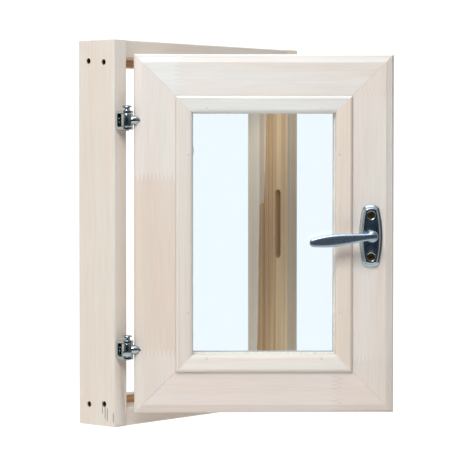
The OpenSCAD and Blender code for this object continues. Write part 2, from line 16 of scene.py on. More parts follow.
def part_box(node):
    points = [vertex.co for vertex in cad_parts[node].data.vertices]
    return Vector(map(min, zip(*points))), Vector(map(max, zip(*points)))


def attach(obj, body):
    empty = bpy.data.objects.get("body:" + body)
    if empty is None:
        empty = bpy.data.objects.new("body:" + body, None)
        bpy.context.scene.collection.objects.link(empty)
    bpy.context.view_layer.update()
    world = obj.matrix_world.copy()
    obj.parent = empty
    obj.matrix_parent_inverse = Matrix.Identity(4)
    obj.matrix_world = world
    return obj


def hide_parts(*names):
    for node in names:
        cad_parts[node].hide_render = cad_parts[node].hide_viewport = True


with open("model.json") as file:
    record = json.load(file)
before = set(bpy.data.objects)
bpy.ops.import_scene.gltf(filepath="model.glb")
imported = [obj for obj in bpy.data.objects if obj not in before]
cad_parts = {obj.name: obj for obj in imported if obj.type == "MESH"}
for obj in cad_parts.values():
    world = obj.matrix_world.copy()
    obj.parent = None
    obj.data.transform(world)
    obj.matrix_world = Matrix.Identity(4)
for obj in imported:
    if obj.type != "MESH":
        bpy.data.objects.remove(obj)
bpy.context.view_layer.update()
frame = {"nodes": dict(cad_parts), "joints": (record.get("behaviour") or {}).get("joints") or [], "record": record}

MM = 0.001

# ---------------------------------------------------------------- places from the frame

joints = {j["name"]: j for j in frame["joints"]}
hinge_axis = Vector(joints["sash_hinge"]["pos_m"])
open_angle = math.radians(-joints["sash_hinge"]["range_deg"][0])
lever_droop = math.radians(90 - joints["handle_turn"]["range_deg"][1])
closing = (
    Matrix.Translation(hinge_axis)
    @ Matrix.Rotation(open_angle, 4, "Z")
    @ Matrix.Translation(-hinge_axis)
)


def node_points(node):
    """The node's vertices at rest, as an array of rows."""
    mesh = frame["nodes"][node].data
    flat = np.zeros(len(mesh.vertices) * 3, np.float32)
    mesh.vertices.foreach_get("co", flat)
    return flat.reshape(-1, 3).astype(float)


def carried(points, matrix):
    """Rows of points carried by a rigid matrix."""
    m = np.array(matrix)
    return points @ m[:3, :3].T + m[:3, 3]


def box_in(node, matrix):
    """Lowest and highest corner of a node once a matrix has carried it."""
    points = carried(node_points(node), matrix)
    return Vector(points.min(0)), Vector(points.max(0))


stile_low, stile_high = box_in("left_stile", closing)
into_sash = Matrix.Translation(-stile_low) @ closing
from_sash = into_sash.inverted()
sash_w = box_in("top_rail", into_sash)[1].x
sash_h = box_in("left_stile", into_sash)[1].z
pivot = into_sash @ Vector(joints["handle_turn"]["pos_m"])
sight_in = box_in("bead_left", into_sash)[1].x
glass_t = box_in("front_pane", into_sash)[0].y

frame_low, frame_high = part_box("left_jamb")
frame_side = frame_low.x
frame_front = frame_low.y
frame_top = frame_high.z
frame_middle = frame_top / 2
wall_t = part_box("head_rail")[0].x - frame_side
REBATE_DEPTH = 34 * MM
stop_front = frame_front + REBATE_DEPTH
openings = {o["name"]: o["box_m"] for o in frame["record"]["physics"]["openings"]}
slot_low, slot_high = openings["keeper_slot"]
slot_middle = (Vector(slot_low) + Vector(slot_high)) / 2

# ---------------------------------------------------------------- materials

FINGER_PITCH = 4.15 * MM
FINGER_LENGTH = 11 * MM
WORLD = Matrix.Identity(4)

def linear(shade):
    """An sRGB hex shade as a linear colour with full alpha."""
    parts = [int(shade[i:i + 2], 16) / 255 for i in (0, 2, 4)]
    return [p / 12.92 if p <= 0.04045 else ((p + 0.055) / 1.055) ** 2.4 for p in parts] + [1.0]


def add(tree, kind, inputs=(), **settings):
    """Adds a node with its settings, and links or sets its inputs: a list in order, or by name or number."""
    node = tree.nodes.new("ShaderNode" + kind)
    for name, value in settings.items():
        setattr(node, name, value)
    named = inputs if isinstance(inputs, dict) else dict(enumerate(inputs))
    for name, value in named.items():
        if isinstance(value, bpy.types.Node):
            value = value.outputs[0]
        if isinstance(value, bpy.types.NodeSocket):
            tree.links.new(value, node.inputs[name])
        else:
            node.inputs[name].default_value = value
    return node


def new_material(name):
    """A material with its tree and its one Principled shader."""
    material = bpy.data.materials.new(name)
    material.use_nodes = True
    return material, material.node_tree, material.node_tree.nodes["Principled BSDF"]


def member_axes(tree, place, order):
    """Distances across, through and along a member: object coordinates carried by place, put in order."""
    where = add(tree, "TexCoord")
    moved = add(tree, "Mapping", {
        "Vector": where.outputs["Object"],
        "Location": place.translation,
        "Rotation": place.to_euler(),
    })
    parts = add(tree, "SeparateXYZ", {0: moved})
    return [parts.outputs[axis] for axis in order]


def streaks(tree, axes, width, length, seed, detail=2.0):
    """Noise drawn out along the grain: width and length are the size of one streak."""
    joined = add(tree, "CombineXYZ", {0: axes[0], 1: axes[1], 2: axes[2]})
    scaled = add(tree, "Mapping", {
        "Vector": joined,
        "Location": (seed * 3.17, seed * 1.31, seed * 5.7),
        "Scale": (1 / width, 1 / width, 1 / length),
    })
    return add(tree, "TexNoise", {"Vector": scaled, "Scale": 1.0, "Detail": detail, "Roughness": 0.55})


def layered(tree, colour, layers):
    """A colour with others laid over it in turn, each as strongly as its factor says."""
    for share, over in layers:
        laid = add(tree, "Mix", {0: share, 6: colour, 7: over}, data_type="RGBA")
        colour = laid.outputs[2]
    return colour


def shaded(tree, colour, shade):
    """A colour made darker or lighter by a factor."""
    inputs = {0: 1.0, 6: colour, 7: shade}
    return add(tree, "Mix", inputs, data_type="RGBA", blend_type="MULTIPLY").outputs[2]


def finger_joint(tree, axes, place, pitch, length):
    """How far along the grain a point lies past a comb of slim fingers, in metres.

    The comb's edge is a triangle wave across the member: it rises and falls by length every pitch.
    """
    wave = add(tree, "Math", {0: axes[0], 1: pitch / 2}, operation="PINGPONG")
    reach = add(tree, "Math", {0: wave, 1: -2 * length / pitch}, operation="MULTIPLY")
    past = add(tree, "Math", {0: axes[2], 1: length / 2 - place}, operation="ADD")
    return add(tree, "Math", {0: past, 1: reach}, operation="ADD")


def whitewashed_limewood(
    name, place, order, tones, cuts=(), seed=1.0, bare=None, hole_shade_and_splits=None, thick=None, glued=0.12
):
    """Limewood, planed and wiped with a thin white wash that lets the grain through.

    tones are the shades of the blocks along the grain, and cuts the places of the finger joints
    between them. bare and the two arguments after it are functions of the tree that give a factor:
    where the wash was left off (on the lock jamb's front partly painted shade of the open sash),
    where the fixing holes are painted dark as painted shade, with the dark lines of the splits, and
    where a paler wash colour is laid over a face as painted light.
    """
    material, tree, shader = new_material(name)
    axes = member_axes(tree, place, order)
    colour = linear(tones[0])
    glue = None
    for cut, tone in zip(cuts, tones[1:]):
        past = finger_joint(tree, axes, cut, FINGER_PITCH, FINGER_LENGTH)
        beyond = add(tree, "MapRange", [past, -0.4 * MM, 0.4 * MM])
        colour = layered(tree, colour, [(beyond, linear(tone))])
        off = add(tree, "Math", {0: past}, operation="ABSOLUTE")
        line = add(tree, "MapRange", [off, 0.3 * MM, 1.2 * MM, 1.0, 0.0])
        glue = line if glue is None else add(tree, "Math", {0: glue, 1: line}, operation="MAXIMUM")
    drift = streaks(tree, axes, 14 * MM, 260 * MM, seed, 1.0)
    warm = add(tree, "MapRange", [drift, 0.35, 0.7, 0.0, 0.42])
    pale = streaks(tree, axes, 22 * MM, 150 * MM, seed + 4, 1.0)
    cool = add(tree, "MapRange", [pale, 0.45, 0.75, 0.0, 0.4])
    colour = layered(tree, colour, [(warm, linear("ddccba")), (cool, linear("dcdcd4"))])
    fibre = streaks(tree, axes, 1.6 * MM, 45 * MM, seed + 8, 3.0)
    shade = add(tree, "MapRange", [fibre, 0.25, 0.75, 0.945, 1.035])
    if glue is not None:
        patch = streaks(tree, axes, 6 * MM, 30 * MM, seed + 2, 0.0)
        strength = add(tree, "MapRange", [patch, 0.35, 0.65, 0.03, glued])
        dark = add(tree, "Math", {0: glue, 1: strength}, operation="MULTIPLY")
        shade = add(tree, "Math", {0: shade, 1: dark}, operation="SUBTRACT")
    colour = shaded(tree, colour, shade.outputs[0])
    # Painted light: where the factor says, a paler wash colour lifts a face that the lamps leave darker
    if thick is not None:
        colour = layered(tree, colour, [(thick(tree), linear("fbf4eb"))])
    if bare is not None:
        colour = layered(tree, colour, [(bare(tree), bare_limewood(tree, axes, seed))])
    # Painted shade: dark brown inside the fixing holes; the same colour draws the splits
    if hole_shade_and_splits is not None:
        colour = layered(tree, colour, [(hole_shade_and_splits(tree), linear("4f3825"))])
    pores = streaks(tree, axes, 0.7 * MM, 9 * MM, seed + 6, 3.0)
    bump = add(tree, "Bump", {"Strength": 0.12, "Distance": 0.3 * MM, "Height": pores})
    tree.links.new(colour, shader.inputs["Base Color"])
    rough = add(tree, "MapRange", [fibre, 0.3, 0.7, 0.62, 0.5])
    tree.links.new(rough.outputs[0], shader.inputs["Roughness"])
    tree.links.new(bump.outputs[0], shader.inputs["Normal"])
    shader.inputs["IOR"].default_value = 1.45
    shader.inputs["Specular IOR Level"].default_value = 0.3
    return material


def bare_limewood(tree, axes, seed):
    """The colour of the unwashed wood: pale brown with darker growth lines along the grain."""
    lines = streaks(tree, axes, 1.5 * MM, 420 * MM, seed + 11, 4.0)
    bands = streaks(tree, axes, 6 * MM, 600 * MM, seed + 13, 1.0)
    dark = add(tree, "MapRange", [lines, 0.38, 0.62])
    light = add(tree, "MapRange", [bands, 0.42, 0.6, 0.0, 0.7])
    return layered(tree, linear("e0bb90"), [(dark, linear("b68e66")), (light, linear("ecd0a6"))])


def plated_metal(name, shade, roughness, scuff, seed=0.0):
    """Plated steel: a bright mirror-like coat with a faint unevenness and handling marks in it."""
    material, tree, shader = new_material(name)
    where = add(tree, "TexCoord")
    fine, broad = 0.7 / MM, 0.09 / MM + seed
    cloud = add(tree, "TexNoise", {"Vector": where.outputs["Object"], "Scale": fine, "Detail": 2.0})
    ripple = add(tree, "TexNoise", {"Vector": where.outputs["Object"], "Scale": broad, "Detail": 1.0})
    worn = add(tree, "MapRange", [cloud, 0.3, 0.7, 0.94, 1.04])
    colour = shaded(tree, linear(shade), worn.outputs[0])
    tree.links.new(colour, shader.inputs["Base Color"])
    rough = add(tree, "MapRange", [cloud, 0.3, 0.75, roughness, roughness + scuff])
    tree.links.new(rough.outputs[0], shader.inputs["Roughness"])
    bump = add(tree, "Bump", {"Strength": 0.015, "Distance": 0.2 * MM, "Height": ripple})
    tree.links.new(bump.outputs[0], shader.inputs["Normal"])
    shader.inputs["Metallic"].default_value = 1.0
    return material


def soft_material(name, shade, other, roughness, per_mm):
    """Sealant, tape or packer: a dull surface mottled a little by dust, with so many patches to a mm."""
    material, tree, shader = new_material(name)
    where = add(tree, "TexCoord")
    cloud = add(tree, "TexNoise", {"Vector": where.outputs["Object"], "Scale": per_mm / MM, "Detail": 3.0})
    mottle = add(tree, "MapRange", [cloud, 0.35, 0.7])
    colour = layered(tree, linear(shade), [(mottle, linear(other))])
    tree.links.new(colour, shader.inputs["Base Color"])
    bump = add(tree, "Bump", {"Strength": 0.2, "Distance": 0.2 * MM, "Height": cloud})
    tree.links.new(bump.outputs[0], shader.inputs["Normal"])
    shader.inputs["Roughness"].default_value = roughness
    return material


def float_glass(name):
    """Float glass: it passes light with a faint blue tint, and mirrors a little, more when seen edge on.

    The mirrored share is four hundredths square on and rises with the fifth power of the slant.
    """
    material, tree, shader = new_material(name)
    tree.nodes.remove(shader)
    clear = add(tree, "BsdfTransparent", {"Color": linear("fafdff")})
    mirror = add(tree, "BsdfGlossy", {"Color": linear("ffffff"), "Roughness": 0.02})
    edge_on = add(tree, "LayerWeight", {"Blend": 0.5})
    steep = add(tree, "Math", {0: edge_on.outputs["Facing"], 1: 5.0}, operation="POWER")
    share = add(tree, "Math", {0: steep, 1: 0.96, 2: 0.04}, operation="MULTIPLY_ADD")
    both = add(tree, "MixShader", {0: share, 1: clear, 2: mirror})
    tree.links.new(both.outputs[0], tree.nodes["Material Output"].inputs["Surface"])
    return material


# ---------------------------------------------------------------- meshes


def joined_grid(rows, cols, round_rows=False, round_cols=True):
    """Faces that join a grid of points: each takes a point, its neighbour and the two in the next row."""
    i, j = np.meshgrid(
        np.arange(rows if round_rows else rows - 1),
        np.arange(cols if round_cols else cols - 1),
        indexing="ij",
    )
    after_i, after_j = (i + 1) % rows, (j + 1) % cols
    corners = [i * cols + j, i * cols + after_j, after_i * cols + after_j, after_i * cols + j]
    return np.stack(corners, -1).reshape(-1, 4)


def shade_by_angle(mesh, degrees):
    """Smooth shading everywhere but over edges that turn by more than the angle."""
    work = bmesh.new()
    work.from_mesh(mesh)
    for face in work.faces:
        face.smooth = True
    for edge in work.edges:
        edge.smooth = len(edge.link_faces) == 2 and edge.calc_face_angle(0.0) < math.radians(degrees)
    work.to_mesh(mesh)
    work.free()


def new_piece(name, mesh, body, material, nodes=()):
    """Puts a finished mesh in the scene, on a body, in place of the nodes it stands for."""
    piece = bpy.data.objects.new(name, mesh)
    bpy.context.scene.collection.objects.link(piece)
    mesh.materials.clear()
    mesh.materials.append(material)
    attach(piece, body)
    if nodes:
        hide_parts(*nodes)
    return piece


def surface_mesh(name, parts, angle=35, weld=0.01 * MM):
    """One mesh from several (points, faces) pairs, welded, closed at its poles and facing outwards."""
    points, faces, start = [], [], 0
    for part_points, part_faces in parts:
        points.append(part_points)
        faces += (part_faces + start).tolist()
        start += len(part_points)
    mesh = bpy.data.meshes.new(name)
    mesh.from_pydata(np.concatenate(points).tolist(), [], faces)
    work = bmesh.new()
    work.from_mesh(mesh)
    bmesh.ops.remove_doubles(work, verts=work.verts, dist=weld)
    bmesh.ops.dissolve_degenerate(work, dist=weld, edges=work.edges)
    bmesh.ops.recalc_face_normals(work, faces=work.faces)
    work.to_mesh(mesh)
    work.free()
    shade_by_angle(mesh, angle)
    return mesh


def eased_copy(node, width, material, body, least=4 * MM, angle=30):
    """A merged copy of a node with its long arrises rounded to a small radius, standing for the node."""
    work = bmesh.new()
    work.from_mesh(frame["nodes"][node].data)
    bmesh.ops.remove_doubles(work, verts=work.verts, dist=0.002 * MM)
    bmesh.ops.dissolve_limit(work, angle_limit=math.radians(0.4), verts=work.verts, edges=work.edges)
    weight = work.edges.layers.float.new("bevel_weight_edge")
    for edge in work.edges:
        turned = len(edge.link_faces) == 2 and edge.calc_face_angle(0.0) > math.radians(angle)
        if turned and edge.calc_length() > least and edge.is_convex:
            edge[weight] = 1.0
    mesh = bpy.data.meshes.new(node + "_eased")
    work.to_mesh(mesh)
    work.free()
    shade_by_angle(mesh, 20)
    piece = new_piece(node + "_eased", mesh, body, material, [node])
    rounding = piece.modifiers.new("arris", "BEVEL")
    rounding.width = width
    rounding.segments = 2
    rounding.limit_method = "WEIGHT"
    rounding.use_clamp_overlap = False
    rounding.harden_normals = True
    return piece


def turned_part(profile, steps):
    """A solid of revolution about Z: each row of profile is a radius and a height."""
    angle = np.linspace(0, 2 * np.pi, steps, endpoint=False)
    radius, height = profile[:, :1], profile[:, 1:]
    points = np.stack([radius * np.cos(angle), radius * np.sin(angle), height + 0 * angle], -1)
    return points.reshape(-1, 3), joined_grid(len(profile), steps)


# Radius to which each kind of piece has its arrises rounded, and the frame's shortest rounded arris
FRAME_EASE = 0.35 * MM
SASH_EASE = 0.4 * MM
BEAD_EASE = 0.5 * MM
FORK_EASE = 0.4 * MM
LONG_ARRIS = 60 * MM

# ---------------------------------------------------------------- camera, light and floor

# The camera stands level with the sash's middle and looks a little down, square to the open sash.
eye = Vector((-1.66007, -1.50259, 0.27786))
heading = math.radians(48.755)
down = math.radians(1.865)
camera = bpy.data.objects.new("camera", bpy.data.cameras.new("camera"))
camera.data.lens = 164.0
camera.data.sensor_width = 36.0
camera.location = eye
camera.rotation_euler = (math.pi / 2 - down, 0, -heading)
bpy.context.scene.collection.objects.link(camera)
bpy.context.scene.camera = camera
bpy.context.scene.view_settings.view_transform = "Standard"


def studio_world():
    """A white studio: plain white where it is looked at, softer above and dim behind the camera."""
    world = bpy.data.worlds.new("studio")
    bpy.context.scene.world = world
    world.use_nodes = True
    tree = world.node_tree
    shown = tree.nodes["Background"]
    shown.inputs["Color"].default_value = (1, 1, 1, 1)
    shown.inputs["Strength"].default_value = 1.2
    where = add(tree, "TexCoord")
    towards = Vector((-math.sin(heading), -math.cos(heading), -0.1)).normalized()
    facing = add(tree, "VectorMath", {0: where.outputs["Generated"], 1: towards}, operation="DOT_PRODUCT")
    dim = add(tree, "MapRange", [facing.outputs["Value"], 0.62, 0.95])
    behind = add(tree, "MapRange", [facing.outputs["Value"], 0.0, -0.5])
    height = add(tree, "SeparateXYZ", {0: where.outputs["Generated"]})
    above = add(tree, "MapRange", [height.outputs[2], -0.3, 0.8])
    right = (math.cos(heading), -math.sin(heading), 0.0)
    side = add(tree, "VectorMath", {0: where.outputs["Generated"], 1: right}, operation="DOT_PRODUCT")
    shade = add(tree, "MapRange", [side.outputs["Value"], 0.7, 1.0, 0.0, 0.85])
    room = layered(tree, linear("6f6b68"), [
        (above, linear("f4f8ff")),
        (behind, (1.7, 1.66, 1.6, 1.0)),
        (shade, linear("6d6c69")),
        (dim, linear("26364a")),
    ])
    soft = add(tree, "Background", {"Color": room, "Strength": 0.55})
    path = add(tree, "LightPath")
    both = add(tree, "MixShader", {0: path.outputs["Is Camera Ray"], 1: soft, 2: shown})
    tree.links.new(both.outputs[0], tree.nodes["World Output"].inputs["Surface"])


def soft_box(name, bearing, height, distance, size, power, shade="ffffff"):
    """A square lamp aimed at the window's middle; bearing is to the camera's left, in degrees."""
    middle = Vector((0, 0, frame_middle))
    turn = heading + math.radians(bearing)
    level = math.cos(math.radians(height))
    away = Vector((-math.sin(turn) * level, -math.cos(turn) * level, math.sin(math.radians(height))))
    lamp = bpy.data.objects.new(name, bpy.data.lights.new(name, "AREA"))
    lamp.data.size = size
    lamp.data.energy = power
    lamp.data.color = linear(shade)[:3]
    lamp.location = middle + away * distance
    lamp.rotation_euler = (-away).to_track_quat("-Z", "Y").to_euler()
    bpy.context.scene.collection.objects.link(lamp)


def pale_floor():
    """A wide pale disc well below the window, which hangs in its wall: rings about a middle point."""
    profile = np.array([[1.3, -0.26], [1.3, -0.25], [0.0, -0.25]])
    mesh = surface_mesh("floor", [turned_part(profile, 96)])
    material, tree, shader = new_material("matt_white_floor")
    where = add(tree, "TexCoord")
    cloud = add(tree, "TexNoise", {"Vector": where.outputs["Object"], "Scale": 6.0, "Detail": 2.0})
    mottle = add(tree, "MapRange", [cloud, 0.3, 0.7])
    colour = layered(tree, linear("f2f1ef"), [(mottle, linear("ececea"))])
    tree.links.new(colour, shader.inputs["Base Color"])
    shader.inputs["Roughness"].default_value = 0.9
    mesh.materials.append(material)
    floor = bpy.data.objects.new("floor", mesh)
    bpy.context.scene.collection.objects.link(floor)


studio_world()
soft_box("key", bearing=11, height=39, distance=1.9, size=0.8, power=24.3)
soft_box("top", bearing=-10, height=78, distance=1.6, size=1.0, power=8.6, shade="e0ecff")
soft_box("left_fill", bearing=80, height=6, distance=1.5, size=1.0, power=2.8, shade="ffead2")
pale_floor()

# ---------------------------------------------------------------- frame


SLOT_REACH = (5 * MM, 41 * MM)


def product(tree, *factors):
    """Factors multiplied together."""
    total = factors[0]
    for factor in factors[1:]:
        total = add(tree, "Math", {0: total, 1: factor}, operation="MULTIPLY")
    return total


def total_of(tree, *terms):
    """Values added together."""
    total = terms[0]
    for term in terms[1:]:
        total = add(tree, "Math", {0: total, 1: term}, operation="ADD")
    return total


def away_from(tree, value, middle):
    """How far a value lies from a middle value, either way."""
    off = add(tree, "Math", {0: value, 1: middle}, operation="SUBTRACT")
    return add(tree, "Math", {0: off}, operation="ABSOLUTE")


def raw_slot(tree, y, z, inward):
    """Where the lock jamb's keeper slot was milled through the wash into raw wood."""
    wide, tall = SLOT_REACH
    deep = add(tree, "MapRange", [inward, wall_t - 0.4 * MM, wall_t - 0.1 * MM, 1.0, 0.0])
    skin = add(tree, "MapRange", [inward, 3 * MM, 3.5 * MM])
    across = add(tree, "MapRange", [away_from(tree, y, slot_middle.y), wide - 0.5 * MM, wide, 1.0, 0.0])
    along = add(tree, "MapRange", [away_from(tree, z, slot_middle.z), tall - 1 * MM, tall, 1.0, 0.0])
    return product(tree, deep, skin, across, along)


def bare_front_and_sash_shade(tree, y, z):
    """The lock jamb's front below its top, given part of the unwashed wood's browner colour: partly wood where the
    wash was wiped thin, partly painted shade that the open sash casts on it.
    """
    front = add(tree, "MapRange", [y, frame_front + 0.2 * MM, frame_front + 0.5 * MM, 0.6, 0.0])
    below = add(tree, "MapRange", [z, frame_top - 40 * MM, frame_top - 30 * MM, 1.0, 0.0])
    return product(tree, front, below)


def jamb_bare(side):
    """Where a jamb's rebate was left unwashed, measured from its outer side round the rebate's steps."""
    def factor(tree):
        where = add(tree, "TexCoord")
        x, y, z = add(tree, "SeparateXYZ", {0: where.outputs["Object"]}).outputs
        inward = add(tree, "Math", {0: x, 1: -side, 2: -frame_side}, operation="MULTIPLY_ADD")
        unfolded = total_of(tree, inward, y, -wall_t)
        wobble = add(tree, "TexNoise", {"Vector": where.outputs["Object"], "Scale": 70.0, "Detail": 4.0})
        limit = total_of(
            tree,
            add(tree, "MapRange", [z, 240 * MM, 340 * MM, 8 * MM, 3.7 * MM]),
            add(tree, "MapRange", [z, 225.5 * MM, 227 * MM, 8 * MM, 0.0]),
            add(tree, "MapRange", [z, 60 * MM, 225 * MM, 3.5 * MM, 0.0]),
            add(tree, "MapRange", [wobble, 0.3, 0.7, -0.5 * MM, 0.5 * MM]),
        )
        left_off = add(tree, "Math", {0: limit, 1: unfolded}, operation="SUBTRACT")
        inside = add(tree, "MapRange", [left_off, -0.3 * MM, 0.3 * MM])
        inner = add(tree, "MapRange", [inward, wall_t - 0.6 * MM, wall_t - 0.3 * MM])
        back = add(tree, "MapRange", [y, frame_front + 0.1 * MM, frame_front + 0.4 * MM])
        bare = product(tree, inside, inner, back)
        if side > 0:
            slot = raw_slot(tree, y, z, inward)
            bare = add(tree, "Math", {0: bare, 1: slot}, operation="MAXIMUM")
            # The lock jamb's front takes part of the browner unwashed colour: partly thin wash, partly painted
            # shade of the open sash
            bare = add(tree, "Math", {0: bare, 1: bare_front_and_sash_shade(tree, y, z)}, operation="MAXIMUM")
        return bare
    return factor


COUNTERBORE_R = 3 * MM

# Short splits in the hinge jamb's outer side by the lower fixing hole: place, foot and head of each
SPLITS = {
    1: [],
    -1: [
        (-12.3 * MM, 9 * MM, 21 * MM),
        (-15.4 * MM, 7 * MM, 17 * MM),
        (-24.2 * MM, 6 * MM, 13 * MM),
        (-8.2 * MM, 14 * MM, 24 * MM),
    ],
}


def jamb_hole_shade_and_splits(side):
    """Where a drill has gone through a jamb: painted shade inside the fixing holes, from just under the surface,
    and the dark lines of the short splits.
    """
    spots = [m["pos_m"] for m in frame["record"].get("mounts", []) if m.get("kind") == "bore"]
    screws_low, screws_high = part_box("frame_screws")
    screw_y = (screws_low.y + screws_high.y) / 2
    for screw_z in (screws_low.z + COUNTERBORE_R, screws_high.z - COUNTERBORE_R):
        spots.append((side, screw_y, screw_z))

    def factor(tree):
        where = add(tree, "TexCoord")
        x, y, z = add(tree, "SeparateXYZ", {0: where.outputs["Object"]}).outputs
        flat = add(tree, "CombineXYZ", {1: y, 2: z})
        inward = add(tree, "Math", {0: x, 1: -side, 2: -frame_side}, operation="MULTIPLY_ADD")
        under = add(tree, "MapRange", [inward, 0.3 * MM, 1.6 * MM])
        total = 0.0
        for spot in spots:
            if spot[0] * side > 0:
                far = add(tree, "VectorMath", {0: flat, 1: (0, spot[1], spot[2])}, operation="DISTANCE")
                hole = add(tree, "MapRange", [far.outputs["Value"], 3.3 * MM, 3.6 * MM, 1.0, 0.0])
                total = add(tree, "Math", {0: hole, 1: total}, operation="MAXIMUM")
        total = add(tree, "Math", {0: total, 1: under}, operation="MULTIPLY")
        for split_y, foot, head in SPLITS[side]:
            waver = streaks(tree, (y, x, z), 90 * MM, 22 * MM, split_y * 100, 2.0)
            bend = add(tree, "MapRange", [waver, 0.3, 0.7, split_y - 0.4 * MM, split_y + 0.4 * MM])
            line = product(
                tree,
                add(tree, "MapRange", [away_from(tree, y, bend), 0.2 * MM, 0.75 * MM, 0.8, 0.0]),
                add(tree, "MapRange", [z, foot - 2 * MM, foot]),
                add(tree, "MapRange", [z, head, head + 3 * MM, 1.0, 0.0]),
                add(tree, "MapRange", [inward, 1 * MM, 2 * MM, 1.0, 0.0]),
            )
            total = add(tree, "Math", {0: total, 1: line}, operation="MAXIMUM")
        return total
    return factor


def painted_front_light(tree):
    """The front face, lifted by a paler wash colour: painted light on a face that the lamps leave darker."""
    where = add(tree, "TexCoord")
    y = add(tree, "SeparateXYZ", {0: where.outputs["Object"]}).outputs[1]
    return add(tree, "MapRange", [y, frame_front + 0.2 * MM, frame_front + 0.5 * MM, 0.3, 0.0])


def rail_bare(tree):
    """The face of a rail's rear stop, which was left unwashed."""
    where = add(tree, "TexCoord")
    y = add(tree, "SeparateXYZ", {0: where.outputs["Object"]}).outputs[1]
    front = add(tree, "MapRange", [y, stop_front - 0.7 * MM, stop_front - 0.4 * MM])
    behind = add(tree, "MapRange", [y, stop_front + 0.4 * MM, stop_front + 0.7 * MM, 1.0, 0.0])
    return add(tree, "Math", {0: front, 1: behind}, operation="MULTIPLY")


JAMB_ORDER = (1, 0, 2)
RAIL_ORDER = (1, 2, 0)
frame_members = {
    # The hinge jamb's front is lightened by painted light, and its holes are darkened by painted shade
    "left_jamb": (JAMB_ORDER, "e1d8cd", 3.0, {
        "bare": jamb_bare(-1), "hole_shade_and_splits": jamb_hole_shade_and_splits(-1), "thick": painted_front_light,
    }),
    # The lock jamb's lighter, warmer tone is painted light, making up for the light that the open sash keeps off
    # it
    "right_jamb": (JAMB_ORDER, "f0e0c9", 5.0, {"bare": jamb_bare(1), "hole_shade_and_splits": jamb_hole_shade_and_splits(1)}),
    "head_rail": (RAIL_ORDER, "ddd3c8", 7.0, {"bare": rail_bare}),
    "sill_rail": (RAIL_ORDER, "ddd3c8", 9.0, {"bare": rail_bare}),
}
for node, (order, tone, seed, marks) in frame_members.items():
    name = "whitewashed_limewood_" + node.removesuffix("_rail")
    wood = whitewashed_limewood(name, WORLD, order, [tone], seed=seed, **marks)
    eased_copy(node, FRAME_EASE, wood, "frame", LONG_ARRIS)

# ---------------------------------------------------------------- sash

STILE_ORDER = (0, 1, 2)
SASH_RAIL_ORDER = (2, 1, 0)
sash_members = {
    "left_stile": (STILE_ORDER, ["e3d9d0", "dfd0c2", "e4dbd4"], [64 * MM, 242 * MM], 2.0),
    "right_stile": (STILE_ORDER, ["e1d6cb", "e6ddd5", "e4dad0"], [54 * MM, 330 * MM], 6.0),
    "top_rail": (SASH_RAIL_ORDER, ["e8e7e2", "e6e1db"], [47.4 * MM], 12.0),
    "bottom_rail": (SASH_RAIL_ORDER, ["e6dad2", "e4d6cc"], [209 * MM], 15.0),
}
for node, (order, tones, cuts, seed) in sash_members.items():
    glued = 0.24 if node == "bottom_rail" else 0.13
    name = "whitewashed_limewood_" + node
    wood = whitewashed_limewood(name, into_sash, order, tones, cuts, seed, glued=glued)
    eased_copy(node, SASH_EASE, wood, "sash")

bead_members = {
    "bead_left": (STILE_ORDER, "e3dbd1", 21.0),
    "bead_right": (STILE_ORDER, "e0d3c5", 23.0),
    "bead_top": (SASH_RAIL_ORDER, "e9e8e4", 25.0),
    "bead_bottom": (SASH_RAIL_ORDER, "eae2d8", 27.0),
}
for node, (order, tone, seed) in bead_members.items():
    wood = whitewashed_limewood("whitewashed_limewood_" + node, into_sash, order, [tone], seed=seed)
    eased_copy(node, BEAD_EASE, wood, "sash")

# ---------------------------------------------------------------- finishes of the fittings

# Stamped steel, barrel plated with zinc: bright and faintly blue, with crisp dark reflections
zinc = plated_metal("bright_zinc_plate", "a9b5b7", 0.15, 0.03)
# Cast zinc, polished and chromed: the plate mirrors the room in dark and light bands
chrome = plated_metal("polished_chrome_plate", "b3c3cc", 0.17, 0.07, 4.0)
# The same chrome on the lever, its mirror softened by hands
worn_chrome = plated_metal("chrome_plate_worn_by_hands", "9fb0be", 0.27, 0.08, 6.0)
# Steel screws, yellow passivated: a dull brass colour that is dark in the cross
yellow_zinc = plated_metal("yellow_passivated_zinc", "6f5a33", 0.25, 0.12, 9.0)
# The same screws deep in their holes, painted a matt near brown: painted shade of the holes they sit in
hole_shaded_screw = soft_material("yellow_zinc_painted_dark_for_hole_shade", "2f261b", "3d3122", 0.6, 0.3)
# Brad heads that the wash has run over: matt and nearly the wood's colour
washed_brad = soft_material("brad_heads_under_the_wash", "d9cfc2", "cbbfb0", 0.6, 0.4)
# Sealant smoothed along the glass: a satin pale grey line, wide along the bottom and the right, where its pale
# colour stands for the bright line at the bead's edge and covers the shade behind it: painted highlight
fillet_sealant_and_highlight = soft_material("pale_sealant_as_painted_highlight", "e4e3dc", "d2d2cb", 0.45, 0.3)
# Float glass, drawn flat: clear with a cold tint, and a mirror at a slant
glass = float_glass("pale_blue_float_glass")
# Sealant round the unit's edge, as pressed out: a satin mid grey
sealant = soft_material("grey_silicone_sealant", "8b8a82", "74736c", 0.5, 0.3)
# Beech rod, turned: warm and close grained
dowel_wood = whitewashed_limewood("turned_beech_dowel", into_sash, STILE_ORDER, ["d9b98f"], seed=31.0)
# Rolled aluminium as it left the mill: a soft grey sheen
spacer = soft_material("mill_aluminium_spacer", "b9bcc0", "a5a8ac", 0.35, 0.5)
# Moulded polypropylene: waxy blue grey
packer = soft_material("moulded_polypropylene_packer", "5f6f7d", "55636f", 0.45, 0.4)

# ---------------------------------------------------------------- hinges and handle


